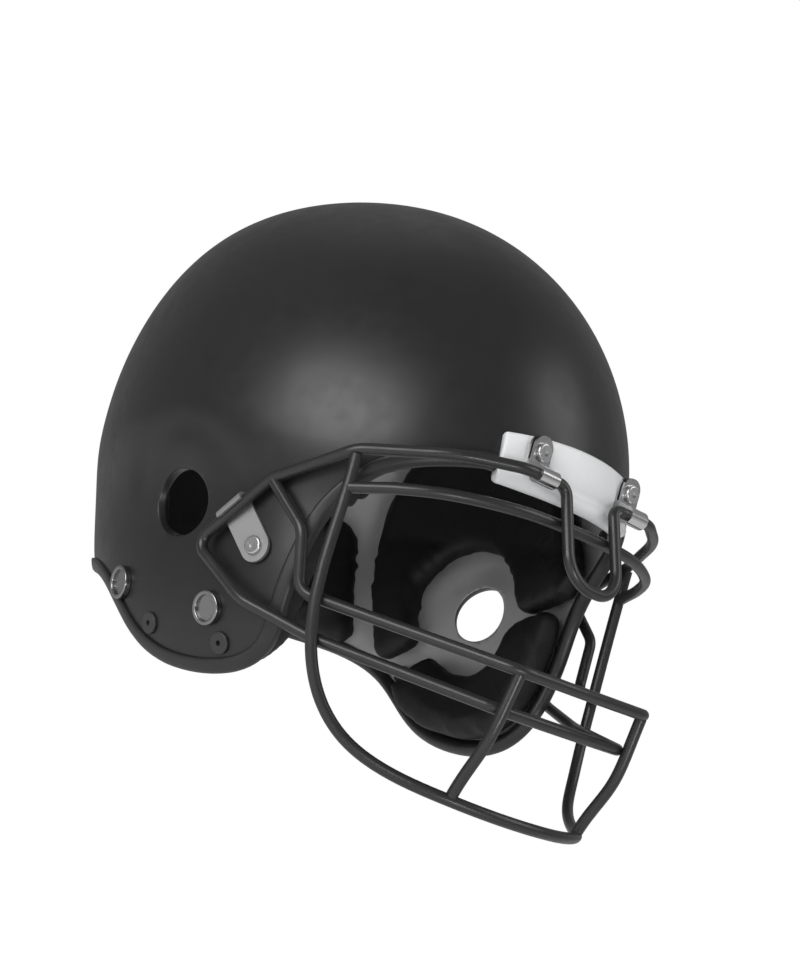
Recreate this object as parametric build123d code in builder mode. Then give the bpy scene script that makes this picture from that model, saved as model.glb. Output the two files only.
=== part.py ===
"""American football helmet: moulded shell, lining pads, snap studs and a wire face mask.

Frame: origin midway between the ear-hole centres, +Z up, front towards -Y and the
wearer's right side at -X.  Units are millimetres.
"""
from build123d import *
from math import cos, pi, sin
import os

os.makedirs("parts", exist_ok=True)

# ---- shell form ----------------------------------------------------------------------
WALL = 4.0
MID_Y = 7.5  # fore-and-aft place of the widest section
EQUATOR_Z = 39.0
DOME_HALF_WIDTH = 118.5
DOME_HALF_LENGTH = 149.5
DOME_RISE = 144.5
DEPTH = 124.0  # how far the plain form runs below the equator

# Level sections of the cheek form, which trims the plain form below the equator:
# height, half width, front length, front squareness, rear length, rear squareness
CHEEK_SECTIONS = [
    (-85.0, 93.5, 127.0, 2.8, 108.0, 2.0),
    (-45.0, 102.0, 134.0, 2.8, 125.0, 2.0),
    (-12.0, 105.2, 139.0, 2.75, 138.0, 2.12),
    (8.0, 108.2, 144.0, 2.35, 143.5, 2.2),
    (30.0, 116.5, 151.0, 2.0, 148.5, 2.15),
    (60.0, 128.0, 161.0, 2.0, 158.0, 2.0),
]
SECTION_POINTS = 16
CHEEK_TOP = 140.0

# Cut edge of the shell seen from the side, as (y, z), from the brow round to the nape
BROW_Z = 47.0
NAPE_Z = -32.0
EDGE = [
    (-125.5, BROW_Z),
    (-112.0, 41.0),
    (-99.0, 33.0),
    (-87.0, 20.5),
    (-79.0, 6.0),
    (-75.5, -10.0),
    (-73.0, -27.0),
    (-71.0, -41.0),
    (-65.5, -54.5),
    (-51.0, -65.3),
    (-28.0, -70.2),
    (-3.0, -69.2),
    (17.0, -62.8),
    (33.0, -53.2),
    (47.0, -43.8),
    (64.0, -37.0),
    (84.0, -33.6),
    (110.0, NAPE_Z),
]
EDGE_SAMPLES = 30
FAR = 200.0  # beyond the helmet in every direction

# Ear hole, a shallow funnel through each flap
EAR_Y, EAR_Z = -1.5, 0.0
EAR_LONG, EAR_TALL = 36.5, 31.0
EAR_INNER = 0.82  # inner size over outer size

# Trim bead on the cut edge, and the white brow bumper
TRIM_SKIN = 1.4
TRIM_LIP = 1.6
BUMPER_SKIN = 5.0
BUMPER_HALF = 44.0
BUMPER_LOW, BUMPER_HIGH = 40.0, 67.0

# ---- fasteners on the shell ----------------------------------------------------------
BOLT_RADIUS = 2.4
BOLT_CLEARANCE = 0.2
CONTACT = 0.1  # gap left under a flat head or nut seated on the curved wall
NUT_DEPTH = WALL + 0.35  # outer face of an inside nut below the shell's outer face
BROW_NUT_DEPTH = 6.5
STUD_PLACES = [(34.5, -41.0), (-34.7, -45.0)]  # (y, z) on each flap
STUD_RADIUS = 8.0
STUD_HEIGHT = 3.0
STUD_DISH_RADIUS = 5.9
STUD_DISH_DEPTH = 1.5
RIVET_PLACES = [(6.0, -57.0), (-43.0, -59.0)]
RIVET_RADIUS = 5.2
RIVET_HEIGHT = 1.3
RIVET_SOCKET = 1.3
NUT_RADIUS = 5.0
NUT_HEIGHT = 2.8
PLUG_PLACES = [(101.0, 57.0), (-91.0, 46.0)]
PLUG_RADIUS = 5.0
PLUG_HEIGHT = 2.2
PAD_GAP = 8.0  # outer face of every pad below the shell's outer face

# ---- lining --------------------------------------------------------------------------
PAD_THICKNESS = 11.0
# Outlines in the side view, as (y, z); the side and jaw pads leave a disc bare round the ear
SIDE_PAD = [(-81, 16), (-81, 28), (-66, 46), (-54, 62), (-40, 96), (48, 96), (66, 72), (75, 45)]
SIDE_PAD += [(73, 24), (46, -36), (26, -22), (35, -7), (38, 10), (29, 29), (10, 36), (-12, 33)]
SIDE_PAD += [(-32, 20), (-45, 3)]
JAW_PAD = [(-76, 6), (-48, -1), (-41, -9), (-37, -24), (-24, -33), (-4, -35), (15, -29)]
JAW_PAD += [(29, -50), (16, -59), (-3, -65), (-27, -66), (-49, -61.5), (-62, -52), (-68, -40)]
PAD_CORNER = 5.0
BACK_PAD = [(93, 34), (83, 15), (65, -31), (FAR, -27), (FAR, 34)]
FRONT_PAD_LOW, FRONT_PAD_HIGH, FRONT_PAD_HALF = 68.0, 104.0, 62.0
CROWN_HALF_WIDTH, CROWN_HALF_LENGTH = 72.0, 84.0

# ---- face mask -----------------------------------------------------------------------
WIRE = 5.4
HINGE_Y, HINGE_Z = -149.5, 47.7  # axis of the rail where the brow clips hold it

# Wire centre-lines for the wearer's left half, as (x, y, z) from the middle outwards
RAIL = [
    (17.0, -166.0, 4.9),
    (17.0, HINGE_Y, HINGE_Z),
    (44.0, HINGE_Y, HINGE_Z),
    (70.0, -133.5, 44.8),
    (97.0, -98.4, 36.4),
    (107.0, -58.5, 16.0),
    (110.5, -24.5, -18.0),
]
RAIL_RADII = [14.5, 5.0, 20.0, 60.0, 20.0, 15.0, 6.0]
WELD_BEYOND_CORNER = 20.0
JAW = [(0.0, -172.0, -57.7), (41.5, -168.3, -57.3), (90.9, -96.0, -48.0), (106.5, -61.0, -39.0)]
JAW_RADII = [150.0, 13.0, 60.0, 25.0]
MOUTH = [(0.0, -180.0, -40.0), (43.5, -176.5, -39.5), (97.5, -87.0, -30.0), (102.0, -83.0, -3.0)]
MOUTH_RADII = [150.0, 12.0, 8.0, 10.0]
MOUTH_END = (106.3, -60.5, 15.5)
EYE = [
    (0.0, -150.6, 30.3),
    (25.0, -150.0, 30.0),
    (42.0, -147.0, 29.3),
    (60.0, -139.5, 27.8),
    (74.0, -130.5, 25.9),
    (85.0, -118.0, 23.3),
    (93.0, -103.0, 20.0),
    (92.6, -97.5, 19.2),
]
CHIN = [
    (0.0, -169.5, -102.0),
    (24.0, -165.0, -101.3),
    (46.0, -152.5, -99.0),
    (64.5, -131.5, -94.0),
    (77.0, -116.5, -85.5),
    (87.0, -107.0, -72.0),
    (93.5, -100.8, -53.5),
    (96.7, -98.0, -32.0),
    (97.0, -97.8, 0.0),
    (97.0, -98.4, 34.0),
]
UPRIGHT = [
    (42.3, -175.0, -41.0),
    (42.9, -171.8, -57.0),
    (43.4, -167.5, -72.5),
    (43.0, -160.5, -86.0),
    (42.5, -154.5, -99.3),
]

# ---- clips that hold the mask ----------------------------------------------------------
CLIP_X = 32.0
CLIP_WIDTH = 12.0
CLIP_BORE = WIRE / 2 + 0.06
CLIP_SKIN = 1.5
CLIP_CHORD = 0.7  # where the tab's web meets the ring, as a share of the ring's radius
CLIP_STANDOFF = 6.0  # back of the clip's tab ahead of the shell's outer face
CLIP_LEAF, CLIP_SLIT = 1.25, 1.0  # the tab is two leaves of the strap with a slit between
CLIP_SLIT_LOW = 54.0
CLIP_TOP = 66.0
CLIP_POCKET = 12.0  # half height of the flat that the bumper gives the clip
BROW_BOLT_Z = 58.5
SIDE_BOLT = (-55.5, -14.0)  # (y, z) of the side clip's screw
SIDE_CLIP_WIDTH = 15.0
SIDE_STRAP = 1.6
SIDE_STANDOFF = 0.95  # gap under the flat plate, which spans the wall's twist
HOOK_BORE = WIRE / 2 + 0.2
HOOK_SKIN = 1.6
HEAD_RADIUS = 4.4
HEAD_HEIGHT = 1.9
HEAD_SOCKET = 1.6


def signed_power(value, power):
    """A power that keeps the sign of its base."""
    return abs(value) ** power * (1 if value >= 0 else -1)


def section(inset, half_width, front, squareness, rear, rear_squareness):
    """Points round one level section, starting at the front."""
    points = []
    for i in range(SECTION_POINTS):
        angle = 2 * pi * i / SECTION_POINTS - pi / 2
        c, s = cos(angle), sin(angle)
        corner, length = (squareness, front) if s < 0 else (rear_squareness, rear)
        x = (half_width - inset) * signed_power(c, 2 / corner)
        y = MID_Y + (length - inset) * signed_power(s, 2 / corner)
        points.append((x, y))
    return points


def cheek_form(inset):
    """Tall form whose sides follow the flaps below the equator and clear the dome above."""
    with BuildPart() as form:
        for height, *measures in CHEEK_SECTIONS:
            with BuildSketch(Plane.XY.offset(height)):
                with BuildLine():
                    Spline(*section(inset, *measures), periodic=True)
                make_face()
        loft()
        extrude(form.faces().sort_by(Axis.Z)[-1], amount=CHEEK_TOP)
    return form.part


def helmet_form(inset):
    """Solid with the helmet's outer shape, drawn in by inset all round."""
    cheeks = cheek_form(inset)
    base = (Align.CENTER, Align.CENTER, Align.MIN)
    radii = (DOME_HALF_WIDTH - inset, DOME_HALF_LENGTH - inset, DOME_RISE - inset)
    with BuildPart() as form:
        with Locations((0, MID_Y, EQUATOR_Z)):
            Sphere(1, arc_size1=0, arc_size2=90, align=base)
        scale(by=radii, about=(0, MID_Y, EQUATOR_Z))
        extrude(form.faces().sort_by(Axis.Z)[0], amount=DEPTH)
        add(cheeks, mode=Mode.INTERSECT)
    return form.part


def edge_points(grow):
    """Points along the cut edge in the side view, moved outwards by grow."""
    curve = Edge.make_spline([Vector(*point) for point in EDGE])
    points = []
    for i in range(EDGE_SAMPLES + 1):
        place = curve.position_at(i / EDGE_SAMPLES)
        along = curve.tangent_at(i / EDGE_SAMPLES)
        points.append((place.X + grow * along.Y, place.Y - grow * along.X))
    return points


def kept_prism(grow):
    """Side-view prism that keeps the part of a form inside the cut edge, grown outwards."""
    points = edge_points(grow)
    low_front, low_rear = points[0][1], points[-1][1]
    with BuildPart() as prism:
        with BuildSketch(Plane.YZ):
            with BuildLine():
                Spline(*points)
                Polyline(points[-1], (FAR, low_rear), (FAR, FAR), (-FAR, FAR), (-FAR, low_front), points[0])
            make_face()
        extrude(amount=FAR, both=True)
    return prism.part


def side_prism(points, radius):
    """Prism through both sides of the helmet from a rounded outline in the side view."""
    with BuildPart() as prism:
        with BuildSketch(Plane.YZ):
            with BuildLine():
                FilletPolyline(*points, radius=radius, close=True)
            make_face()
        extrude(amount=FAR, both=True)
    return prism.part


outer = helmet_form(0)


def seat(y, z, side, depth=0.0):
    """Plane on the outer surface of one flap, facing outwards; side is -1 or 1."""
    ray = Axis((0, y, z), (side, 0, 0))
    point, normal = max(outer.find_intersection_points(ray), key=lambda hit: side * hit[0].X)
    if normal.X * side < 0:
        normal = -normal
    return Plane(origin=point - normal * depth, z_dir=normal, x_dir=(0, -side, 0))


def brow_seat(x, z, depth=0.0):
    """Upright plane ahead of the brow, facing forwards, at the outer surface there."""
    ray = Axis((x, 0, z), (0, -1, 0))
    point, _ = min(outer.find_intersection_points(ray), key=lambda hit: hit[0].Y)
    return Plane(origin=(x, point.Y + depth, z), z_dir=(0, -1, 0), x_dir=(1, 0, 0))


SIDES = (-1, 1)
stud_seats = [seat(y, z, side) for side in SIDES for y, z in STUD_PLACES]
rivet_seats = [seat(y, z, side) for side in SIDES for y, z in RIVET_PLACES]
side_bolt_seats = [seat(*SIDE_BOLT, side) for side in SIDES]
brow_bolt_seats = [brow_seat(side * CLIP_X, BROW_BOLT_Z) for side in SIDES]
plug_seats = [seat(y, z, side) for side in SIDES for y, z in PLUG_PLACES]

# ---- shell ---------------------------------------------------------------------------
inner = helmet_form(WALL)
kept = kept_prism(0)
with BuildPart() as shell:
    add(outer)
    add(inner, mode=Mode.SUBTRACT)
    add(kept, mode=Mode.INTERSECT)
    for ear in [seat(EAR_Y, EAR_Z, side, depth=-1.0) for side in SIDES]:
        with BuildSketch(ear):
            Ellipse(EAR_LONG / 2, EAR_TALL / 2)
        with BuildSketch(ear.offset(-WALL - 3)):
            Ellipse(EAR_LONG / 2 * EAR_INNER, EAR_TALL / 2 * EAR_INNER)
        loft(mode=Mode.SUBTRACT)
    for place in stud_seats + rivet_seats + side_bolt_seats + brow_bolt_seats:
        with BuildSketch(place.offset(WALL)):
            Circle(BOLT_RADIUS + BOLT_CLEARANCE)
        extrude(amount=-4 * WALL, mode=Mode.SUBTRACT)
shell.part.label = "shell"
export_step(shell.part, "parts/shell.step")

# ---- brow bumper: a soft band on the brow that also wraps under the cut edge ---------
bumper_outside = helmet_form(-BUMPER_SKIN)
bumper_inside = helmet_form(WALL + 1.0)
with BuildPart() as shell_at_brow:
    with BuildSketch(Plane.XY.offset(BROW_Z)):
        Rectangle(2 * FAR, 2 * FAR)
    extrude(amount=FAR)
    add(outer, mode=Mode.INTERSECT)

with BuildPart() as front_bumper:
    with BuildSketch(Plane.XZ):
        with Locations((0, (BUMPER_LOW + BUMPER_HIGH) / 2)):
            RectangleRounded(2 * BUMPER_HALF, BUMPER_HIGH - BUMPER_LOW, 2.0)
    extrude(amount=FAR)
    add(bumper_outside, mode=Mode.INTERSECT)
    add(bumper_inside, mode=Mode.SUBTRACT)
    add(shell_at_brow.part, mode=Mode.SUBTRACT)
    for place in brow_bolt_seats:
        with BuildSketch(place.offset(2 * WALL)):
            Circle(BOLT_RADIUS + BOLT_CLEARANCE)
        extrude(amount=-6 * WALL, mode=Mode.SUBTRACT)
        with BuildSketch(place.offset(CLIP_STANDOFF)):
            RectangleRounded(CLIP_WIDTH + 1.0, 2 * CLIP_POCKET, 2.0)
        extrude(amount=4 * BUMPER_SKIN, mode=Mode.SUBTRACT)
front_bumper.part.label = "front_bumper"
export_step(front_bumper.part, "parts/front_bumper.step")

# ---- edge trim: a bead bonded along the cut edge, stopping at the bumper -------------
trim_outside = helmet_form(-TRIM_SKIN)
trim_inside = helmet_form(WALL + TRIM_SKIN)
trim_reach = kept_prism(TRIM_LIP)
trim_stop = kept_prism(0.02)
with BuildPart() as trim_band:
    add(trim_reach)
    add(trim_stop, mode=Mode.SUBTRACT)
with BuildPart() as edge_trim:
    add(trim_outside)
    add(trim_inside, mode=Mode.SUBTRACT)
    add(trim_band.part, mode=Mode.INTERSECT)
    with BuildSketch(Plane.XZ):
        Rectangle(2 * BUMPER_HALF + 1, 2 * FAR)
    extrude(amount=FAR, mode=Mode.SUBTRACT)
edge_trim.part.label = "edge_trim"
export_step(edge_trim.part, "parts/edge_trim.step")

# ---- lining pads ---------------------------------------------------------------------
pad_outside = helmet_form(PAD_GAP)
pad_inside = helmet_form(PAD_GAP + PAD_THICKNESS)
with BuildPart() as lining:
    add(pad_outside)
    add(pad_inside, mode=Mode.SUBTRACT)

side_region = side_prism(SIDE_PAD, PAD_CORNER)
jaw_region = side_prism(JAW_PAD, PAD_CORNER)
back_region = side_prism(BACK_PAD, PAD_CORNER)
for side, hand in ((-1, "right"), (1, "left")):
    for kind, region in (("side_pad", side_region), ("jaw_pad", jaw_region)):
        with BuildPart() as pad:
            add(lining.part)
            add(region, mode=Mode.INTERSECT)
            with BuildSketch(Plane.YZ.offset(side * 10)):
                Rectangle(3 * FAR, 3 * FAR)
            extrude(amount=-side * FAR, mode=Mode.SUBTRACT)
        pad.part.label = f"{kind}_{hand}"
        export_step(pad.part, f"parts/{kind}_{hand}.step")

with BuildPart() as back_pad:
    add(lining.part)
    add(back_region, mode=Mode.INTERSECT)
back_pad.part.label = "back_pad"
export_step(back_pad.part, "parts/back_pad.step")

with BuildPart() as front_pad:
    add(lining.part)
    with BuildSketch(Plane.XZ):
        with Locations((0, (FRONT_PAD_LOW + FRONT_PAD_HIGH) / 2)):
            RectangleRounded(2 * FRONT_PAD_HALF, FRONT_PAD_HIGH - FRONT_PAD_LOW, PAD_CORNER)
    extrude(amount=FAR, mode=Mode.INTERSECT)
front_pad.part.label = "front_pad"
export_step(front_pad.part, "parts/front_pad.step")

with BuildPart() as crown_pad:
    add(lining.part)
    with BuildSketch(Plane.XY.offset(EQUATOR_Z)):
        with Locations((0, MID_Y)):
            Ellipse(CROWN_HALF_WIDTH, CROWN_HALF_LENGTH)
    extrude(amount=FAR, mode=Mode.INTERSECT)
crown_pad.part.label = "crown_pad"
export_step(crown_pad.part, "parts/crown_pad.step")

# ---- face mask wires -------------------------------------------------------------------


def both_sides(half):
    """Points of a whole wire, left to right, from the half that starts at the middle."""
    mirrored = [(-x, y, z) for x, y, z in reversed(half)]
    return mirrored + [point for point in half if point[0] > 0]


def both_radii(half, middle):
    """Corner radii for both_sides, with the middle corner's radius counted once."""
    return list(reversed(half)) + half[middle:]


def beyond(corner, target, distance):
    """Point at a distance from corner on the way to target."""
    start, step = Vector(*corner), Vector(*target) - Vector(*corner)
    return tuple(start + step.normalized() * distance)


def bent_wire(points, radii):
    """Round wire through straight runs and corners of the given radii."""
    with BuildPart() as rod:
        with BuildLine() as path:
            FilletPolyline(*points, radius=radii)
        with BuildSketch(Plane(origin=path.line @ 0, z_dir=path.line % 0)):
            Circle(WIRE / 2)
        sweep()
    return rod.part


def bowed_wire(points):
    """Round wire along one smooth curve."""
    with BuildPart() as rod:
        with BuildLine() as path:
            Spline(*points)
        with BuildSketch(Plane(origin=path.line @ 0, z_dir=path.line % 0)):
            Circle(WIRE / 2)
        sweep()
    return rod.part


rail_end = beyond(RAIL[-1], JAW[-1], WELD_BEYOND_CORNER)
left_rail = RAIL + [rail_end]
rail_form = bent_wire(both_sides(left_rail), both_radii(RAIL_RADII, 0))
jaw_form = bent_wire(both_sides(JAW + [rail_end]), both_radii(JAW_RADII, 1))
mouth_form = bent_wire(both_sides(MOUTH + [MOUTH_END]), both_radii(MOUTH_RADII, 1))
eye_form = bowed_wire(both_sides(EYE))
chin_form = bowed_wire(both_sides(CHIN))

with BuildPart() as mask_top_rail:
    add(rail_form)
with BuildPart() as mask_chin_loop:
    add(chin_form)
    add(rail_form, mode=Mode.SUBTRACT)
with BuildPart() as mask_mouth_bar:
    add(mouth_form)
    add([rail_form, chin_form], mode=Mode.SUBTRACT)
with BuildPart() as mask_eye_bar:
    add(eye_form)
    add([rail_form, chin_form], mode=Mode.SUBTRACT)
with BuildPart() as mask_jaw_bar:
    add(jaw_form)
    add([rail_form, chin_form], mode=Mode.SUBTRACT)
wires = {
    "mask_top_rail": mask_top_rail,
    "mask_chin_loop": mask_chin_loop,
    "mask_mouth_bar": mask_mouth_bar,
    "mask_eye_bar": mask_eye_bar,
    "mask_jaw_bar": mask_jaw_bar,
}
for side, hand in ((-1, "right"), (1, "left")):
    with BuildPart() as upright:
        add(bowed_wire([(side * x, y, z) for x, y, z in UPRIGHT]))
        add([mouth_form, chin_form, jaw_form], mode=Mode.SUBTRACT)
    wires[f"mask_upright_{hand}"] = upright
for name, rod in wires.items():
    rod.part.label = name
    export_step(rod.part, f"parts/{name}.step")

# ---- brow clips: a strap wrapped once round the rail, its two leaves under one screw ---
CLIP_DEPTH = 2 * CLIP_LEAF + CLIP_SLIT
for side, hand in ((-1, "right"), (1, "left")):
    seated = brow_seat(side * CLIP_X, BROW_BOLT_Z).offset(CLIP_STANDOFF)
    tab_back = seated.origin.Y
    tab_front = tab_back - CLIP_DEPTH
    ring = CLIP_BORE + CLIP_SKIN
    with BuildPart() as brow_clip:
        with BuildSketch(Plane.YZ.offset(side * CLIP_X)):
            with Locations((HINGE_Y, HINGE_Z)):
                Circle(ring)
            with BuildLine():
                Polyline(
                    (HINGE_Y, HINGE_Z + ring),
                    (tab_front, HINGE_Z + ring + CLIP_SKIN),
                    (tab_front, CLIP_TOP),
                    (tab_back, CLIP_TOP),
                    (tab_back, HINGE_Z + ring - CLIP_SKIN / 2),
                    (HINGE_Y + ring * CLIP_CHORD, HINGE_Z - ring * CLIP_CHORD),
                    close=True,
                )
            make_face()
            with Locations((HINGE_Y, HINGE_Z)):
                Circle(CLIP_BORE, mode=Mode.SUBTRACT)
            with Locations(((tab_front + tab_back) / 2, CLIP_SLIT_LOW)):
                Rectangle(CLIP_SLIT, FAR, align=(Align.CENTER, Align.MIN), mode=Mode.SUBTRACT)
        extrude(amount=CLIP_WIDTH / 2, both=True)
        corners = brow_clip.edges().filter_by(Axis.Y).group_by(Axis.Z)[-1]
        fillet(corners, CLIP_WIDTH / 2 - 0.5)
        with BuildSketch(seated.offset(2 * CLIP_DEPTH)):
            Circle(BOLT_RADIUS + BOLT_CLEARANCE)
        extrude(amount=-4 * CLIP_DEPTH, mode=Mode.SUBTRACT)
    brow_clip.part.label = f"brow_clip_{hand}"
    export_step(brow_clip.part, f"parts/brow_clip_{hand}.step")

# ---- side clips: a plate under one screw, ending in a hook open towards the screw ------
for side, hand in ((-1, "right"), (1, "left")):
    bolt = seat(*SIDE_BOLT, side)
    corner, before = [Vector(side * x, y, z) for x, y, z in (RAIL[-1], RAIL[-2])]
    along = (corner - before).normalized()
    held = before + along * (bolt.origin - before).dot(along)
    across = held - bolt.origin
    upward = (across - bolt.z_dir * across.dot(bolt.z_dir)).normalized()
    plate = Plane(origin=bolt.origin, x_dir=upward, z_dir=bolt.z_dir).offset(SIDE_STANDOFF)
    hook = Plane(origin=held, x_dir=upward - along * upward.dot(along), z_dir=along)
    lift = hook.y_dir.dot(bolt.z_dir)
    rise = abs(across.dot(bolt.z_dir)) - SIDE_STANDOFF - SIDE_STRAP / 2
    reach = across.dot(upward) + HOOK_BORE + HOOK_SKIN
    with BuildPart() as side_clip:
        with BuildSketch(plate):
            with Locations((reach / 2, 0)):
                Rectangle(reach, SIDE_CLIP_WIDTH)
            Circle(SIDE_CLIP_WIDTH / 2)
            Circle(BOLT_RADIUS + BOLT_CLEARANCE, mode=Mode.SUBTRACT)
        extrude(amount=SIDE_STRAP)
        with BuildSketch(hook):
            Circle(HOOK_BORE + HOOK_SKIN)
            with Locations((-FAR / 2, 0)):
                Rectangle(FAR, FAR, mode=Mode.SUBTRACT)
            with Locations((0, -lift * rise / 2)):
                Rectangle(2 * HOOK_BORE + 2 * HOOK_SKIN, rise)
            Circle(HOOK_BORE, mode=Mode.SUBTRACT)
            with Locations((-FAR / 2, 0)):
                Rectangle(FAR, 2 * HOOK_BORE, mode=Mode.SUBTRACT)
        extrude(amount=SIDE_CLIP_WIDTH / 2, both=True)
        with BuildSketch(hook):
            Circle(HOOK_BORE)
        extrude(amount=SIDE_CLIP_WIDTH, both=True, mode=Mode.SUBTRACT)
    side_clip.part.label = f"side_clip_{hand}"
    export_step(side_clip.part, f"parts/side_clip_{hand}.step")


# ---- fasteners, drawn about the seat's normal with the shell's outer face at height 0 --
def screw(head_low, end):
    """Round-headed socket screw with its head resting at head_low and its tip at end."""
    with BuildPart() as body:
        with BuildSketch(Plane.XY.offset(head_low)):
            Circle(HEAD_RADIUS)
        extrude(amount=HEAD_HEIGHT)
        fillet(body.edges().group_by(Axis.Z)[-1], HEAD_HEIGHT / 2)
        with BuildSketch(Plane.XY.offset(head_low + HEAD_HEIGHT)):
            RegularPolygon(HEAD_SOCKET, 6)
        extrude(amount=-HEAD_HEIGHT / 2, mode=Mode.SUBTRACT)
        with BuildSketch(Plane.XY.offset(head_low)):
            Circle(BOLT_RADIUS)
        extrude(amount=end - head_low)
    return body.part


def nut(depth):
    """Round inside nut with its outer face at depth."""
    with BuildPart() as body:
        with BuildSketch(Plane.XY.offset(-depth)):
            Circle(NUT_RADIUS)
            Circle(BOLT_RADIUS + CONTACT / 2, mode=Mode.SUBTRACT)
        extrude(amount=-NUT_HEIGHT)
        fillet(body.edges().group_by(Axis.Z)[0].sort_by(SortBy.LENGTH)[-1], NUT_HEIGHT / 4)
    return body.part


with BuildPart() as stud:
    with BuildSketch(Plane.XY.offset(CONTACT)):
        Circle(STUD_RADIUS)
    extrude(amount=STUD_HEIGHT)
    with BuildSketch(Plane.XY.offset(CONTACT + STUD_HEIGHT)):
        Circle(STUD_DISH_RADIUS)
    extrude(amount=-STUD_DISH_DEPTH, mode=Mode.SUBTRACT)
    fillet(stud.edges().group_by(Axis.Z)[-1], 0.7)
    with BuildSketch(Plane.XY.offset(CONTACT)):
        Circle(BOLT_RADIUS)
    extrude(amount=-NUT_DEPTH - NUT_HEIGHT)

with BuildPart() as rivet:
    with BuildSketch(Plane.XY.offset(CONTACT)):
        Circle(RIVET_RADIUS)
    extrude(amount=RIVET_HEIGHT)
    fillet(rivet.edges().group_by(Axis.Z)[-1], RIVET_HEIGHT / 2)
    with BuildSketch(Plane.XY.offset(CONTACT)):
        Circle(BOLT_RADIUS)
    extrude(amount=-WALL)
    with BuildSketch(Plane.XY.offset(CONTACT + RIVET_HEIGHT)):
        Circle(RIVET_SOCKET)
    extrude(amount=-2 * RIVET_HEIGHT, mode=Mode.SUBTRACT)

with BuildPart() as plug:
    with BuildSketch(Plane.XY.offset(-NUT_DEPTH)):
        Circle(PLUG_RADIUS)
    extrude(amount=-PLUG_HEIGHT)
    fillet(plug.edges().group_by(Axis.Z)[0], PLUG_HEIGHT / 3)

brow_head = CLIP_STANDOFF + CLIP_DEPTH + CONTACT
side_head = SIDE_STANDOFF + SIDE_STRAP + CONTACT
groups = {
    "brow_clip_screws": (screw(brow_head, -BROW_NUT_DEPTH - NUT_HEIGHT), brow_bolt_seats),
    "brow_clip_nuts": (nut(BROW_NUT_DEPTH), brow_bolt_seats),
    "side_clip_screws": (screw(side_head, -NUT_DEPTH - NUT_HEIGHT), side_bolt_seats),
    "side_clip_nuts": (nut(NUT_DEPTH), side_bolt_seats),
    "snap_studs": (stud.part, stud_seats),
    "stud_nuts": (nut(NUT_DEPTH), stud_seats),
    "flap_rivets": (rivet.part, rivet_seats),
    "inner_plugs": (plug.part, plug_seats),
}
for name, (fastener, places) in groups.items():
    with BuildPart() as group:
        with Locations(*places):
            add(fastener)
    group.part.label = name
    export_step(group.part, f"parts/{name}.step")
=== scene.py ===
"""Looks of an american football helmet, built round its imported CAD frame.

The shell's outer surface is read from the CAD shell, smoothed and rebuilt as a fine skin
with a rim, a valley over each ear and funnelled ear holes.  The edge bead and the brow
bumper are swept along that skin, and the lining pads are inflated by cloth simulation.
"""
import math

import bmesh
import bpy
import numpy as np
from mathutils import Matrix, Vector
from mathutils.bvhtree import BVHTree


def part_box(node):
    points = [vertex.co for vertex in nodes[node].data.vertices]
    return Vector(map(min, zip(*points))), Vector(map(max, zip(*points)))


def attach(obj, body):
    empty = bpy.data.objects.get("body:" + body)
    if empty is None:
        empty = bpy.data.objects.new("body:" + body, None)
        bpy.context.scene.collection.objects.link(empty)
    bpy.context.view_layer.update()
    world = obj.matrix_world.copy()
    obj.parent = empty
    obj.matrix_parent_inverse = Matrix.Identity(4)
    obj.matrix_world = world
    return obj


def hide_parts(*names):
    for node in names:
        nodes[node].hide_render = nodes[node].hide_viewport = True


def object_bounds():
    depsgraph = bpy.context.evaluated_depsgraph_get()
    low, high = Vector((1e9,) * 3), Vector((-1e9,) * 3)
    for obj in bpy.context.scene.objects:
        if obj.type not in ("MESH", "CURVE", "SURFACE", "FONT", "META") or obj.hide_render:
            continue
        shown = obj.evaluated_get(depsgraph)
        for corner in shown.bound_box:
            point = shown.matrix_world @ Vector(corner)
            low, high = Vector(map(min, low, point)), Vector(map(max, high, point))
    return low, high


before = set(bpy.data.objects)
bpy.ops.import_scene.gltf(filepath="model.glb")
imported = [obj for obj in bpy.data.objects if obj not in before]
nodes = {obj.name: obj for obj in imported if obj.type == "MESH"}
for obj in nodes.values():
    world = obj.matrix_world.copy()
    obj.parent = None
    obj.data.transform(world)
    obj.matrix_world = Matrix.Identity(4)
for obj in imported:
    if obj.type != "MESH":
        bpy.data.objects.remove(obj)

cad_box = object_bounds()
MM = 0.001

# ---- where things are, from the frame --------------------------------------------------
shell_low, shell_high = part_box("shell")
DOME_RISE = 144.5 * MM  # from the shell's widest level up to its crown
CENTRE = np.array((0.0, (shell_low.y + shell_high.y) / 2, shell_high.z - DOME_RISE))
FAR = 0.4  # start of the rays that look for the shell, beyond it on every side
bumper_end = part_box("front_bumper")[1].x
clip_low, clip_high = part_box("brow_clip_left")
WALL = 4 * MM


# ---- materials -------------------------------------------------------------------------
def node_material(name):
    """New node material, its node tree and its Principled node."""
    made = bpy.data.materials.new(name)
    made.use_nodes = True
    tree = made.node_tree
    return made, tree, tree.nodes["Principled BSDF"]


def noise(tree, scale, detail=4.0, rough=0.5):
    """Noise texture in object coordinates."""
    place = tree.nodes.new("ShaderNodeTexCoord")
    made = tree.nodes.new("ShaderNodeTexNoise")
    made.inputs["Scale"].default_value = scale
    made.inputs["Detail"].default_value = detail
    made.inputs["Roughness"].default_value = rough
    tree.links.new(place.outputs["Object"], made.inputs["Vector"])
    return made.outputs["Fac"]


def ramp(tree, value, low, high):
    """Maps the middle of a noise's range to the range between two colours or grey levels."""
    made = tree.nodes.new("ShaderNodeValToRGB")
    made.color_ramp.elements[0].position = 0.3
    made.color_ramp.elements[1].position = 0.7
    for stop, shade in zip(made.color_ramp.elements, (low, high)):
        stop.color = (*shade, 1) if isinstance(shade, tuple) else (shade, shade, shade, 1)
    tree.links.new(value, made.inputs["Fac"])
    return made.outputs["Color"]


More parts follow.
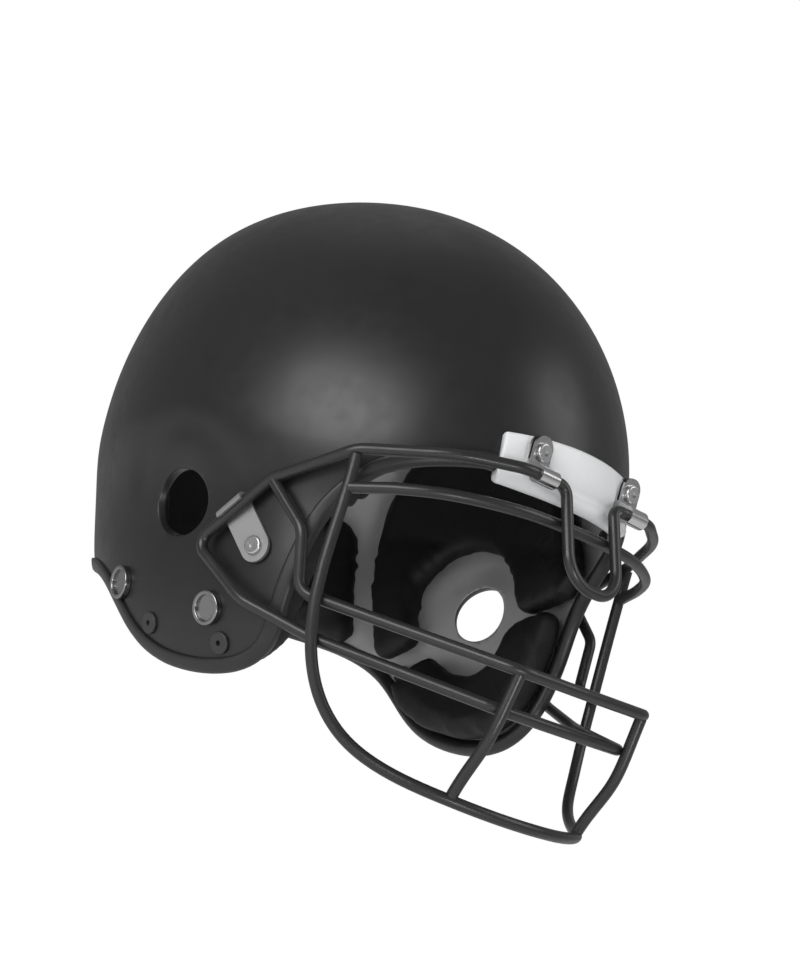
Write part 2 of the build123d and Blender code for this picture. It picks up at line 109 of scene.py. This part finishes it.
def bump(tree, principled, height, distance, strength=1.0, under=None):
    """Adds a bump from a height, over any bump made before."""
    made = tree.nodes.new("ShaderNodeBump")
    made.inputs["Distance"].default_value = distance
    made.inputs["Strength"].default_value = strength
    tree.links.new(height, made.inputs["Height"])
    if under is not None:
        tree.links.new(under, made.inputs["Normal"])
    tree.links.new(made.outputs["Normal"], principled.inputs["Normal"])
    return made.outputs["Normal"]


ROUGH_DRIFT = 0.05  # how far a surface's roughness strays either way


def mottled(name, dark, light, tint, rough, metallic, grain, wave):
    """Surface whose colour and roughness drift slightly.

    grain and wave are a fine and a broad bump, each a noise scale and a height in mm.
    """
    made, tree, surface = node_material(name)
    drift = noise(tree, 22, 5, 0.6)
    shades = ramp(tree, drift, grey(dark, tint), grey(light, tint))
    tree.links.new(shades, surface.inputs["Base Color"])
    wear = ramp(tree, noise(tree, 95, 6, 0.65), rough - ROUGH_DRIFT, rough + ROUGH_DRIFT)
    tree.links.new(wear, surface.inputs["Roughness"])
    surface.inputs["Metallic"].default_value = metallic
    broad = bump(tree, surface, noise(tree, wave[0], 2, 0.4), wave[1] * MM)
    bump(tree, surface, noise(tree, grain[0], 3, 0.6), grain[1] * MM, under=broad)
    return made


def grey(level, tint=0.0):
    """Near-neutral colour at a linear level, slightly blue with tint."""
    return (level * (1 - tint), level, level * (1 + tint))


def pad_material(name):
    """Soft coated cloth: near black, with a leather-like cell grain."""
    made, tree, surface = node_material(name)
    drift = noise(tree, 30, 5, 0.6)
    tree.links.new(ramp(tree, drift, grey(0.004), grey(0.008)), surface.inputs["Base Color"])
    surface.inputs["Roughness"].default_value = 0.6
    surface.inputs["Specular IOR Level"].default_value = 0.35
    place = tree.nodes.new("ShaderNodeTexCoord")
    cells = tree.nodes.new("ShaderNodeTexVoronoi")
    cells.inputs["Scale"].default_value = 650
    tree.links.new(place.outputs["Object"], cells.inputs["Vector"])
    broad = bump(tree, surface, noise(tree, 120, 4, 0.6), 0.25 * MM)
    bump(tree, surface, cells.outputs["Distance"], 0.12 * MM, 0.7, under=broad)
    return made


# finish: material name, dark and light grey levels, tint, roughness, metallic, grain, wave
FINISHES = {
    "shell": ("shell_satin", 0.009, 0.012, 0.01, 0.36, 0.0, (1400, 0.006), (45, 0.012)),
    "inside": ("shell_inside", 0.50, 0.54, 0.0, 0.6, 0.0, (1200, 0.02), (60, 0.03)),
    "trim": ("trim_rubber", 0.012, 0.017, 0.0, 0.4, 0.0, (1600, 0.02), (60, 0.03)),
    "bumper": ("bumper_vinyl", 0.79, 0.83, 0.012, 0.42, 0.0, (1500, 0.012), (80, 0.03)),
    "wire": ("wire_coating", 0.016, 0.022, 0.0, 0.3, 0.0, (1100, 0.02), (220, 0.06)),
    "chrome": ("clip_chrome", 0.55, 0.66, 0.0, 0.16, 1.0, (800, 0.01), (150, 0.02)),
    "steel": ("clip_steel", 0.32, 0.38, 0.0, 0.42, 0.6, (1500, 0.02), (150, 0.02)),
    "screw": ("screw_steel", 0.5, 0.62, 0.0, 0.28, 1.0, (1500, 0.01), (60, 0.03)),
    "stud": ("stud_nickel", 0.24, 0.3, 0.0, 0.26, 1.0, (1500, 0.01), (60, 0.03)),
    "black": ("black_hardware", 0.02, 0.03, 0.0, 0.45, 0.0, (1500, 0.02), (60, 0.03)),
}
finishes = {finish: mottled(*measures) for finish, measures in FINISHES.items()}
finishes["pad"] = pad_material("pad_cover")


# ---- mesh helpers ----------------------------------------------------------------------
def add_piece(name, points, faces, finish, body="helmet", stands_for=()):
    """New mesh piece, smooth shaded, with its material, slot, body and CAD nodes."""
    mesh = bpy.data.meshes.new(name)
    mesh.from_pydata([tuple(point) for point in points], [], faces)
    mesh.validate()
    made = bpy.data.objects.new(name, mesh)
    bpy.context.scene.collection.objects.link(made)
    mesh.materials.append(finishes[finish])
    outward(mesh)
    mesh.polygons.foreach_set("use_smooth", np.ones(len(mesh.polygons), bool))
    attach(made, body)
    if stands_for:
        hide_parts(*stands_for)
    return made


def outward(mesh):
    """Turns every face of a closed mesh outwards."""
    work = bmesh.new()
    work.from_mesh(mesh)
    bmesh.ops.recalc_face_normals(work, faces=work.faces)
    work.to_mesh(mesh)
    work.free()


def strip_faces(rows, around):
    """Quads between rings of points that are numbered ring by ring."""
    faces = []
    for i in range(rows - 1):
        for j in range(around):
            a, b, k = i * around, (i + 1) * around, (j + 1) % around
            faces.append((a + j, a + k, b + k, b + j))
    return faces


def tube_faces(rings, around):
    """Faces of a tube of rings with both ends closed."""
    faces = strip_faces(rings, around)
    last = (rings - 1) * around
    return faces + [tuple(range(around)), tuple(range(last, last + around))[::-1]]


# ---- shell form: distance of the outer surface from CENTRE in every direction -----------
LOW_END = 150  # degrees from the crown, below every edge
SMOOTH = 4.0  # degrees over which the form's creases are eased
TRUSTED = 0.06  # share of known neighbours that a cell of the form needs
STEADY = np.diag((1e-9, 1e-3, 1e-3))  # keeps the plane fit solvable where little is known
tree = BVHTree.FromObject(nodes["shell"], bpy.context.evaluated_depsgraph_get())


def toward(phi, theta):
    """Unit directions; phi turns about +Z from +X, theta falls from the crown, in degrees."""
    phi, theta = np.broadcast_arrays(np.radians(phi), np.radians(theta))
    return np.stack([np.sin(theta) * np.cos(phi), np.sin(theta) * np.sin(phi), np.cos(theta)], -1)


def outer_distance(phi, theta):
    """Distance to the CAD shell's outer face, or None where the wall is absent."""
    way = Vector(toward(phi, theta))
    hit, normal, _, _ = tree.ray_cast(Vector(CENTRE) + way * FAR, -way)
    if hit is None or normal.dot(way) < 0.15:
        return None
    distance = (hit - Vector(CENTRE)).dot(way)
    return distance if distance > 0.06 else None


def spread_sums(table, across_power, down_power):
    """Sums over each cell's neighbours, weighted by a bell times powers of their offsets."""
    reach = int(3 * SMOOTH)
    offsets = np.arange(-reach, reach + 1)
    bell = np.exp(-0.5 * (offsets / SMOOTH) ** 2)
    padded = np.concatenate([table[-reach:], table, table[:reach]])
    total = sum(
        w * padded[i:i + len(table)] for i, w in enumerate(bell * offsets ** across_power)
    )
    over_crown = np.roll(total, 180, 0)[:, reach:0:-1]
    if across_power % 2:
        over_crown = -over_crown
    padded = np.concatenate([over_crown, total, np.zeros((len(table), reach))], 1)
    weights = bell * offsets ** down_power
    return sum(w * padded[:, i:i + table.shape[1]] for i, w in enumerate(weights))


def eased(table, known):
    """Table smoothed by fitting a plane to the known cells round each cell."""
    sums = {(i, j): spread_sums(known, i, j) for i in range(3) for j in range(3 - i)}
    tall = {(i, j): spread_sums(known * table, i, j) for i, j in ((0, 0), (1, 0), (0, 1))}
    order = ((0, 0), (1, 0), (0, 1))
    left = np.array([[sums[a[0] + b[0], a[1] + b[1]] for a in order] for b in order])
    right = np.array([tall[a] for a in order])
    left = np.moveaxis(left, (0, 1), (2, 3)) + STEADY
    fitted = np.linalg.solve(left, np.moveaxis(right, 0, 2)[..., None])
    return fitted[..., 0, 0], sums[0, 0] / sums[0, 0].max()


def read_form():
    """Table of the form's distances, one row per degree of phi, one column per degree of theta."""
    thetas = np.arange(LOW_END + 1)
    table = np.zeros((360, LOW_END + 1))
    known = np.zeros((360, LOW_END + 1))
    for phi in range(360):
        found = [outer_distance(phi, theta) for theta in thetas]
        good = np.array([value is not None for value in found])
        table[phi] = np.interp(thetas, thetas[good], [value for value in found if value])
        known[phi] = good
    smooth, trust = eased(table, known)
    smooth[:, 0] = smooth[:, 0].mean()
    fill, _ = eased(smooth, (trust > TRUSTED).astype(float))
    return np.where(trust > TRUSTED, smooth, fill)


def cubic_weights(t):
    """Four weights of a smooth curve through even samples, at t between the middle two."""
    return (
        ((2 - t) * t - 1) * t / 2,
        ((3 * t - 5) * t * t + 2) / 2,
        ((4 - 3 * t) * t + 1) * t / 2,
        (t - 1) * t * t / 2,
    )


def fullness():
    """Extra distance where the dome's rear quarters are fuller or flatter than the plain form."""
    way = toward(np.arange(360)[:, None], np.arange(LOW_END + 1))
    total = np.zeros(way.shape[:2])
    for heart, rise, spread in LUMPS:
        for side in (-1, 1):
            apart = np.degrees(np.arccos(np.clip(way @ (np.array(heart) * (side, 1, 1)), -1, 1)))
            total += rise * MM * np.exp(-0.5 * (apart / spread) ** 2)
    return total


# direction, height in mm and spread in degrees of each pair of soft lumps on the form
LUMPS = [((0.443, 0.494, 0.747), 6.6, 19.0), ((0.69, 0.70, -0.18), -2.4, 15.0)]
form_table = read_form() + fullness()


def plain_distance(phi, theta):
    """The form's distance at any direction, in degrees."""
    phi, theta = np.broadcast_arrays(np.asarray(phi, float), np.asarray(theta, float))
    base_phi, base_theta = np.floor(phi).astype(int), np.floor(theta).astype(int)
    total = np.zeros(phi.shape)
    for i, across in enumerate(cubic_weights(phi - base_phi)):
        for j, down in enumerate(cubic_weights(theta - base_theta)):
            column = np.clip(np.abs(base_theta + j - 1), 0, LOW_END)
            total += across * down * form_table[(base_phi + i - 1) % 360, column]
    return total


# Valley that arches over each ear, and the slightly proud disc inside it
EAR = np.array((-1.5, 0.0)) * MM
VALLEY_RADIUS, VALLEY_WIDTH, VALLEY_DEPTH = 37 * MM, 8 * MM, 1.5 * MM
VALLEY_SQUASH = 0.92


def form_points(phi, theta):
    """Points on the finished outer surface."""
    plain = CENTRE + toward(phi, theta) * plain_distance(phi, theta)[..., None]
    y, z = plain[..., 1] - EAR[0], plain[..., 2] - EAR[1]
    ring = (np.hypot(y, z / VALLEY_SQUASH) - VALLEY_RADIUS) / VALLEY_WIDTH
    over = np.clip((z + 6 * MM) / (24 * MM), 0, 1)
    aside = np.clip((np.abs(plain[..., 0]) - 70 * MM) / (20 * MM), 0, 1)
    inwards = VALLEY_DEPTH * np.exp(-ring ** 2) * over * over * (3 - 2 * over) * aside
    plain[..., 0] -= np.sign(plain[..., 0]) * inwards
    return plain


def form_normals(phi, theta):
    """Outward unit normals of the finished outer surface."""
    step = 0.3
    theta = np.maximum(theta, step)
    along = form_points(phi + step, theta) - form_points(phi - step, theta)
    down = form_points(phi, theta + step) - form_points(phi, theta - step)
    normal = np.cross(down, along)
    return normal / np.linalg.norm(normal, axis=-1, keepdims=True)


def edge_theta(phi):
    """Degrees from the crown down to the cut edge at phi."""
    bare = float(LOW_END)
    walled = bare - 1
    while outer_distance(phi, walled) is None:
        bare, walled = walled, walled - 1
    for _ in range(12):
        middle = (bare + walled) / 2
        if outer_distance(phi, middle) is None:
            bare = middle
        else:
            walled = middle
    return walled


def edge_columns(count):
    """phi and theta of evenly spaced points round the cut edge, starting at the front."""
    turns = np.arange(0, 360.01, 0.5) - 90
    falls = np.array([edge_theta(turn) for turn in turns])
    places = form_points(turns, falls)
    run = np.concatenate([[0], np.cumsum(np.linalg.norm(np.diff(places, axis=0), axis=1))])
    even = np.linspace(0, run[-1], count, endpoint=False)
    phi = np.interp(even, run, turns)
    return phi, np.array([edge_theta(turn) for turn in phi])


# ---- shell skin ------------------------------------------------------------------------
COLUMNS, ROWS = 480, 120
edge_phi, edge_fall = edge_columns(COLUMNS)


def shell_skin():
    """Outer and inner faces of the shell joined by a rounded rim, before the ear holes."""
    share = np.linspace(0, 1, ROWS + 1)[1:, None]
    phi = np.broadcast_to(edge_phi, (ROWS, COLUMNS))
    theta = share * edge_fall
    outer = form_points(phi, theta)
    normal = form_normals(phi, theta)
    inner = outer - normal * WALL
    down = outer[-1] - outer[-2]
    down /= np.linalg.norm(down, axis=1, keepdims=True)
    rim = []
    for turn in (45, 90, 135):
        out, low = math.cos(math.radians(turn)), math.sin(math.radians(turn))
        rim.append(outer[-1] - normal[-1] * WALL / 2 * (1 - out) + down * WALL / 4 * low)
    rows = [*outer, *rim, *inner[::-1]]
    crown = form_points(0.0, 0.0)
    points = np.concatenate([*rows, [crown, crown - (0, 0, WALL)]])
    faces = strip_faces(len(rows), COLUMNS)
    top, under, last = len(points) - 2, len(points) - 1, (len(rows) - 1) * COLUMNS
    for j in range(COLUMNS):
        k = (j + 1) % COLUMNS
        faces.append((top, k, j))
        faces.append((under, last + j, last + k))
    skin = add_piece("shell_skin", points, faces, "shell", stands_for=["shell"])
    skin.data.materials.append(finishes["inside"])
    inside_from = (ROWS + 2) * COLUMNS
    for polygon in skin.data.polygons:
        if min(polygon.vertices) >= inside_from and polygon.vertices[0] != top:
            polygon.material_index = 1
    return skin


def surface_at(seed, free):
    """Points and normals of the outer surface below seeds that slide along one free axis."""
    places = np.array(seed, float)
    for _ in range(8):
        ray = places - CENTRE
        phi = np.degrees(np.arctan2(ray[..., 1], ray[..., 0]))
        theta = np.degrees(np.arccos(ray[..., 2] / np.linalg.norm(ray, axis=-1)))
        fixed = (ray ** 2).sum(-1) - ray[..., free] ** 2
        room = np.sqrt(np.maximum(plain_distance(phi, theta) ** 2 - fixed, 1e-6))
        places[..., free] = CENTRE[free] + np.sign(ray[..., free]) * room
    return form_points(phi, theta), form_normals(phi, theta)


EAR_LONG, EAR_TALL = 36.5 * MM, 31 * MM
# how far in mm each ring of the ear hole's wall stands out of the outer face, and its size
EAR_RINGS = [(6, 1.2), (1.2, 1.085), (0.25, 1.05), (-0.1, 1.022), (-0.6, 1.004)]
EAR_RINGS += [(-1.4, 0.99), (-2.8, 0.96), (-4.4, 0.93), (-9, 0.93)]


def ear_cutter(side):
    """Closed funnel, round-lipped where it meets the outer face, that cuts one ear hole."""
    count = 72
    turn = np.radians(np.arange(count) * 360 / count)
    stand, size = np.array(EAR_RINGS).T[..., None]
    y = EAR[0] + size * EAR_LONG / 2 * np.cos(turn)
    z = EAR[1] + size * EAR_TALL / 2 * np.sin(turn)
    places, normals = surface_at(np.stack([np.full(y.shape, 0.1 * side), y, z], -1), 0)
    rings = (places + normals * stand[..., None] * MM).reshape(-1, 3)
    faces = tube_faces(len(EAR_RINGS), count)
    mesh = bpy.data.meshes.new("ear_cutter")
    mesh.from_pydata([tuple(point) for point in rings], [], faces)
    outward(mesh)
    mesh.polygons.foreach_set("use_smooth", np.ones(len(mesh.polygons), bool))
    cutter = bpy.data.objects.new("ear_cutter", mesh)
    bpy.context.scene.collection.objects.link(cutter)
    return cutter


def apply_modifiers(piece):
    """Replaces a piece's mesh by what its modifiers make of it."""
    graph = bpy.context.evaluated_depsgraph_get()
    made = bpy.data.meshes.new_from_object(piece.evaluated_get(graph))
    piece.modifiers.clear()
    piece.data = made


def cut(piece, cutter):
    """Takes a cutter out of a piece and throws the cutter away."""
    step = piece.modifiers.new("cut", "BOOLEAN")
    step.operation = "DIFFERENCE"
    step.object = cutter
    step.solver = "EXACT"
    apply_modifiers(piece)
    bpy.data.objects.remove(cutter)


skin = shell_skin()
for side in (-1, 1):
    cut(skin, ear_cutter(side))


# ---- edge bead -------------------------------------------------------------------------
# section of the bead: out from the outer face, and down past the cut edge, in mm
BEAD = [(0.1, -5.6), (0.9, -5.7), (1.35, -5.1), (1.55, -3.6), (1.6, -1.6), (1.4, 0.2)]
BEAD += [(0.6, 1.4), (-0.8, 2.0), (-2.6, 2.0), (-4.4, 1.4), (-5.3, 0.2), (-5.5, -1.6)]
BEAD += [(-5.4, -4.2), (-4.9, -4.9), (-4.1, -4.9)]
BEAD_STATIONS = 900
BUMPER_GAP = 0.4 * MM  # between the bead's ends and the bumper


def edge_bead():
    """Rubber channel swept along the cut edge, open across the brow where the bumper sits."""
    phi, fall = edge_columns(BEAD_STATIONS)
    edge = form_points(phi, fall)
    normal = form_normals(phi, fall)
    along = np.roll(edge, -1, 0) - np.roll(edge, 1, 0)
    along /= np.linalg.norm(along, axis=1, keepdims=True)
    down = np.cross(along, normal)
    down *= np.sign((down * (edge - form_points(phi, fall - 2))).sum(1))[:, None]
    for _ in range(3):
        down = (np.roll(down, 1, 0) + down + np.roll(down, -1, 0)) / 3
    down /= np.linalg.norm(down, axis=1, keepdims=True)
    clear = (np.abs(edge[:, 0]) > bumper_end + BUMPER_GAP) | (edge[:, 1] > 0)
    keep = np.flatnonzero(clear)
    points = []
    for i in keep:
        for out, low in BEAD:
            points.append(edge[i] + (normal[i] * out + down[i] * low) * MM)
    faces = tube_faces(len(keep), len(BEAD))
    add_piece("edge_bead", points, faces, "trim", stands_for=["edge_trim"])


edge_bead()

# ---- brow bumper -----------------------------------------------------------------------
# section at the middle: height in mm, and distance out from the shell's outer face
BUMPER = [(66.6, 0.2), (67.0, 1.2), (67.0, 3.4), (66.4, 4.6), (65.2, 5.0), (61, 5.0)]
BUMPER += [(57, 5.0), (53.5, 4.9), (50.8, 4.6), (49.2, 3.9), (48.0, 3.2), (46.8, 3.3)]
BUMPER += [(45.8, 4.1), (44.6, 4.9), (43.0, 5.3), (41.4, 4.9), (40.3, 3.6), (40.0, 1.8)]
BUMPER += [(40.1, -0.5), (40.4, -2.6), (41.2, -4.0), (43.0, -4.8), (45.2, -4.8)]
BUMPER += [(46.6, -4.5), (46.8, -3.4), (46.8, 0.1), (50, 0.15), (58, 0.15)]
BUMPER_STATIONS = 161
BUMPER_HEART = (53.0, 1.6)  # point of the section that its rounded ends close towards
END_ROUND = 1.5 * MM
END_SIZES = (0.88, 0.96)  # size of the section's last two rings at each end
END_DROP = 3.9  # how much lower the bumper's top is at its ends than at the middle
# flats behind the two brow clips: half width, soft edge and lowest height
FLAT_HALF, FLAT_EDGE, FLAT_LOW = 8.2 * MM, 1.4 * MM, 45.5 * MM


def brow_bumper():
    """Band that hugs the brow, with a groove and a rolled lip under the cut edge."""
    height, out = np.array(BUMPER).T
    across = np.concatenate([[-1, -1], np.linspace(-1, 1, BUMPER_STATIONS), [1, 1]])[:, None]
    size = np.ones(len(across))[:, None]
    size[[0, -1]], size[[1, -2]] = END_SIZES
    drop = END_DROP * across ** 2 * np.clip((height - 48) / 18, 0, 1)
    z = BUMPER_HEART[0] + (height - drop - BUMPER_HEART[0]) * size
    reach = BUMPER_HEART[1] + (out - BUMPER_HEART[1]) * size
    bulge = np.sqrt(1 - ((size - END_SIZES[0]) / (1 - END_SIZES[0])) ** 2)
    x = np.broadcast_to(across * (bumper_end - END_ROUND + END_ROUND * bulge), z.shape)
    places, normals = surface_at(np.stack([x, np.full(z.shape, -0.14), z * MM], -1), 1)
    points = (places + normals * reach[..., None] * MM).reshape(-1, 3)
    aside = np.abs(np.abs(points[:, 0]) - (clip_low.x + clip_high.x) / 2)
    flat = np.clip((FLAT_HALF - aside) / FLAT_EDGE, 0, 1) * (points[:, 2] > FLAT_LOW)
    points[:, 1] += np.maximum(clip_high.y - points[:, 1], 0) * flat
    faces = tube_faces(len(across), len(BUMPER))
    add_piece("brow_bumper", points, faces, "bumper", stands_for=["front_bumper"])


brow_bumper()

# ---- lining pads, inflated -------------------------------------------------------------
# remesh size of each lining pad, in mm
PADS = {"crown_pad": 4, "front_pad": 3.5, "back_pad": 3.5, "side_pad_left": 3}
PADS |= {"side_pad_right": 3, "jaw_pad_left": 3, "jaw_pad_right": 3}
START_GROW = 1.8 * MM  # makes up for what the smoothing takes off
SWELL_LIMIT = 1.6 * MM
# the back pad's upper edge rises towards the middle
RISE_FROM, RISE_OVER, RISE, RISE_REACH = 14 * MM, 20 * MM, 14 * MM, 62 * MM


def inflate(piece):
    """Swells a closed mesh with pressurised cloth, and stops each point at a limit."""
    count = len(piece.data.vertices)
    start = np.empty(count * 3)
    piece.data.vertices.foreach_get("co", start)
    cloth = piece.modifiers.new("cloth", "CLOTH")
    cloth.settings.use_pressure = True
    cloth.settings.uniform_pressure_force = 4
    cloth.settings.effector_weights.gravity = 0
    cloth.settings.quality = 5
    cloth.point_cache.frame_start = 1
    cloth.point_cache.frame_end = 20
    for step in range(1, 21):
        bpy.context.scene.frame_set(step)
    graph = bpy.context.evaluated_depsgraph_get()
    swollen = np.empty(count * 3)
    piece.evaluated_get(graph).data.vertices.foreach_get("co", swollen)
    piece.modifiers.clear()
    bpy.context.scene.frame_set(1)
    travel = (swollen - start).reshape(-1, 3)
    length = np.linalg.norm(travel, axis=1, keepdims=True)
    travel *= np.minimum(1, SWELL_LIMIT / np.maximum(length, 1e-9))
    piece.data.vertices.foreach_set("co", (start.reshape(-1, 3) + travel).ravel())


def pad_cushion(node):
    """One lining pad: remeshed from its CAD solid, eased, inflated and subdivided."""
    piece = bpy.data.objects.new(node + "_cushion", nodes[node].data.copy())
    bpy.context.scene.collection.objects.link(piece)
    remesh = piece.modifiers.new("remesh", "REMESH")
    remesh.mode = "VOXEL"
    remesh.voxel_size = PADS[node] * MM
    ease = piece.modifiers.new("ease", "SMOOTH")
    ease.factor = 0.5
    ease.iterations = 10
    apply_modifiers(piece)
    mesh = piece.data
    normals = np.empty(len(mesh.vertices) * 3)
    places = np.empty(len(mesh.vertices) * 3)
    mesh.vertices.foreach_get("co", places)
    mesh.vertex_normals.foreach_get("vector", normals)
    places = (places + normals * START_GROW).reshape(-1, 3)
    if node == "back_pad":
        share = np.clip((places[:, 2] - RISE_FROM) / RISE_OVER, 0, 1)
        places[:, 2] += RISE * share * np.exp(-((places[:, 0] / RISE_REACH) ** 2))
    mesh.vertices.foreach_set("co", places.ravel())
    inflate(piece)
    piece.modifiers.new("round", "SUBSURF").levels = 1
    apply_modifiers(piece)
    mesh = piece.data
    mesh.materials.clear()
    mesh.materials.append(finishes["pad"])
    mesh.polygons.foreach_set("material_index", np.zeros(len(mesh.polygons), np.int32))
    mesh.polygons.foreach_set("use_smooth", np.ones(len(mesh.polygons), bool))
    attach(piece, "helmet")
    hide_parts(node)


for pad in PADS:
    pad_cushion(pad)

# ---- eye bar, swept smoothly between the face mask's two chin-loop ends ------------------
# centre-line of its left half in mm, from the middle outwards
EYE_BAR = [(0, -150.6, 30.3), (25, -150.0, 30.0), (42, -147.0, 29.3), (60, -139.5, 27.8)]
EYE_BAR += [(74, -130.5, 25.9), (85, -118.0, 23.3), (92, -106.5, 20.7), (96.6, -98.6, 18.9)]
EYE_STEPS = 12
WIRE_RADIUS = 2.7 * MM
WIRE_SIDES = 20


def eye_bar():
    """Round wire along a smooth curve through the centre-line's points."""
    half = np.array(EYE_BAR, float) * MM
    knots = np.concatenate([half[:0:-1] * (-1, 1, 1), half])
    knots = np.concatenate([[2 * knots[0] - knots[1]], knots, [2 * knots[-1] - knots[-2]]])
    share = np.arange(EYE_STEPS)[:, None] / EYE_STEPS
    spans = [
        sum(w * knots[i + j] for j, w in enumerate(cubic_weights(share)))
        for i in range(len(knots) - 3)
    ]
    line = np.concatenate([*spans, knots[-2:-1]])
    along = np.gradient(line, axis=0)
    along /= np.linalg.norm(along, axis=1, keepdims=True)
    out = np.cross(along, (0, 0, 1))
    out /= np.linalg.norm(out, axis=1, keepdims=True)
    up = np.cross(out, along)
    turn = np.radians(np.arange(WIRE_SIDES) * 360 / WIRE_SIDES)[:, None]
    spokes = np.cos(turn) * out[:, None] + np.sin(turn) * up[:, None]
    points = (line[:, None] + WIRE_RADIUS * spokes).reshape(-1, 3)
    faces = tube_faces(len(line), WIRE_SIDES)
    add_piece("eye_bar", points, faces, "wire", "face_mask", ["mask_eye_bar"])


eye_bar()

# ---- CAD nodes that stay ---------------------------------------------------------------
CAD_FINISH = {
    "mask_": "wire",
    "brow_clip_screws": "screw",
    "side_clip_screws": "screw",
    "brow_clip_nuts": "screw",
    "side_clip_nuts": "screw",
    "stud_nuts": "black",
    "brow_clip_": "chrome",
    "side_clip_": "steel",
    "snap_studs": "stud",
    "flap_rivets": "black",
    "inner_plugs": "black",
}
for name, piece in nodes.items():
    finish = next((shade for start, shade in CAD_FINISH.items() if name.startswith(start)), None)
    if finish:
        piece.data.materials.clear()
        piece.data.materials.append(finishes[finish])


# ---- stage, light and camera -----------------------------------------------------------
def area_light(name, place, target, size, power):
    """Soft rectangular light aimed at a point."""
    lamp = bpy.data.lights.new(name, "AREA")
    lamp.shape = "RECTANGLE"
    lamp.size, lamp.size_y = size
    lamp.energy = power
    made = bpy.data.objects.new(name, lamp)
    made.location = place
    made.rotation_euler = (Vector(target) - Vector(place)).to_track_quat("-Z", "Y").to_euler()
    bpy.context.scene.collection.objects.link(made)


FLOOR_HALF, FLOOR_DROP = 20.0, 0.35  # half width, and depth below the helmet
FLOOR_GLOW = 0.2  # how strongly the floor lights the helmet; the camera sees it at 1
WORLD_GLOW = 0.27  # how strongly the surround lights the helmet; the camera sees it at 1
# each light: name, place from the helmet's centre, size and power
LIGHTS = [
    ("key", (-1.72, -0.38, 0.56), (1.5, 1.0), 22),
    ("front", (0.9, -1.4, 1.1), (1.0, 1.2), 7.5),
    ("back", (0.2, 0.9, 2.0), (1.2, 1.0), 0.6),
    ("inner", (-0.6, -1.6, -0.6), (0.5, 0.5), 18),
]


def studio():
    """Pale floor well below the helmet, a white surround and soft lights."""
    mesh = bpy.data.meshes.new("floor")
    low = cad_box[0].z - FLOOR_DROP
    corners = [(x * FLOOR_HALF, y * FLOOR_HALF, low) for x, y in ((-1, -1), (1, -1), (1, 1), (-1, 1))]
    mesh.from_pydata(corners, [], [(0, 1, 2, 3)])
    floor = bpy.data.objects.new("floor", mesh)
    bpy.context.scene.collection.objects.link(floor)
    made, tree, surface = node_material("floor_pale")
    tree.links.new(ramp(tree, noise(tree, 2), grey(0.86), grey(0.88)), surface.inputs["Base Color"])
    surface.inputs["Roughness"].default_value = 0.9
    surface.inputs["Emission Color"].default_value = (1, 1, 1, 1)
    seen = tree.nodes.new("ShaderNodeLightPath").outputs["Is Camera Ray"]
    glow = tree.nodes.new("ShaderNodeMath")
    glow.operation = "MULTIPLY_ADD"
    glow.inputs[1].default_value = 1 - FLOOR_GLOW
    glow.inputs[2].default_value = FLOOR_GLOW
    tree.links.new(seen, glow.inputs[0])
    tree.links.new(glow.outputs["Value"], surface.inputs["Emission Strength"])
    mesh.materials.append(made)
    world = bpy.data.worlds.new("studio")
    bpy.context.scene.world = world
    world.use_nodes = True
    tree = world.node_tree
    seen = tree.nodes["Background"]
    seen.inputs["Color"].default_value = (1, 1, 1, 1)
    seen.inputs["Strength"].default_value = 1.0
    lit = tree.nodes.new("ShaderNodeBackground")
    lit.inputs["Color"].default_value = (1, 1, 1, 1)
    lit.inputs["Strength"].default_value = WORLD_GLOW
    path = tree.nodes.new("ShaderNodeLightPath")
    choose = tree.nodes.new("ShaderNodeMixShader")
    tree.links.new(path.outputs["Is Camera Ray"], choose.inputs["Fac"])
    tree.links.new(lit.outputs["Background"], choose.inputs[1])
    tree.links.new(seen.outputs["Background"], choose.inputs[2])
    tree.links.new(choose.outputs["Shader"], tree.nodes["World Output"].inputs["Surface"])
    heart = Vector(CENTRE)
    for name, place, size, power in LIGHTS:
        area_light(name, heart + Vector(place), heart, size, power)


studio()
bpy.context.scene.view_settings.view_transform = "Standard"

camera_data = bpy.data.cameras.new("camera")
camera = bpy.data.objects.new("camera", camera_data)
bpy.context.scene.collection.objects.link(camera)
bpy.context.scene.camera = camera
CAMERA_PLACE = (-0.69482, -0.77707, -0.10697)
ahead = Vector((0.67184, 0.72633, 0.14516)).normalized()
right = Vector((0.68046, -0.68266, 0.26637))
right = (right - ahead * right.dot(ahead)).normalized()
turn = Matrix((right, right.cross(ahead), -ahead)).transposed()
camera.matrix_world = Matrix.Translation(CAMERA_PLACE) @ turn.to_4x4()
camera_data.sensor_width = 36
camera_data.lens = 77.858  # mm on the picture's long side
camera_data.clip_start = 0.05
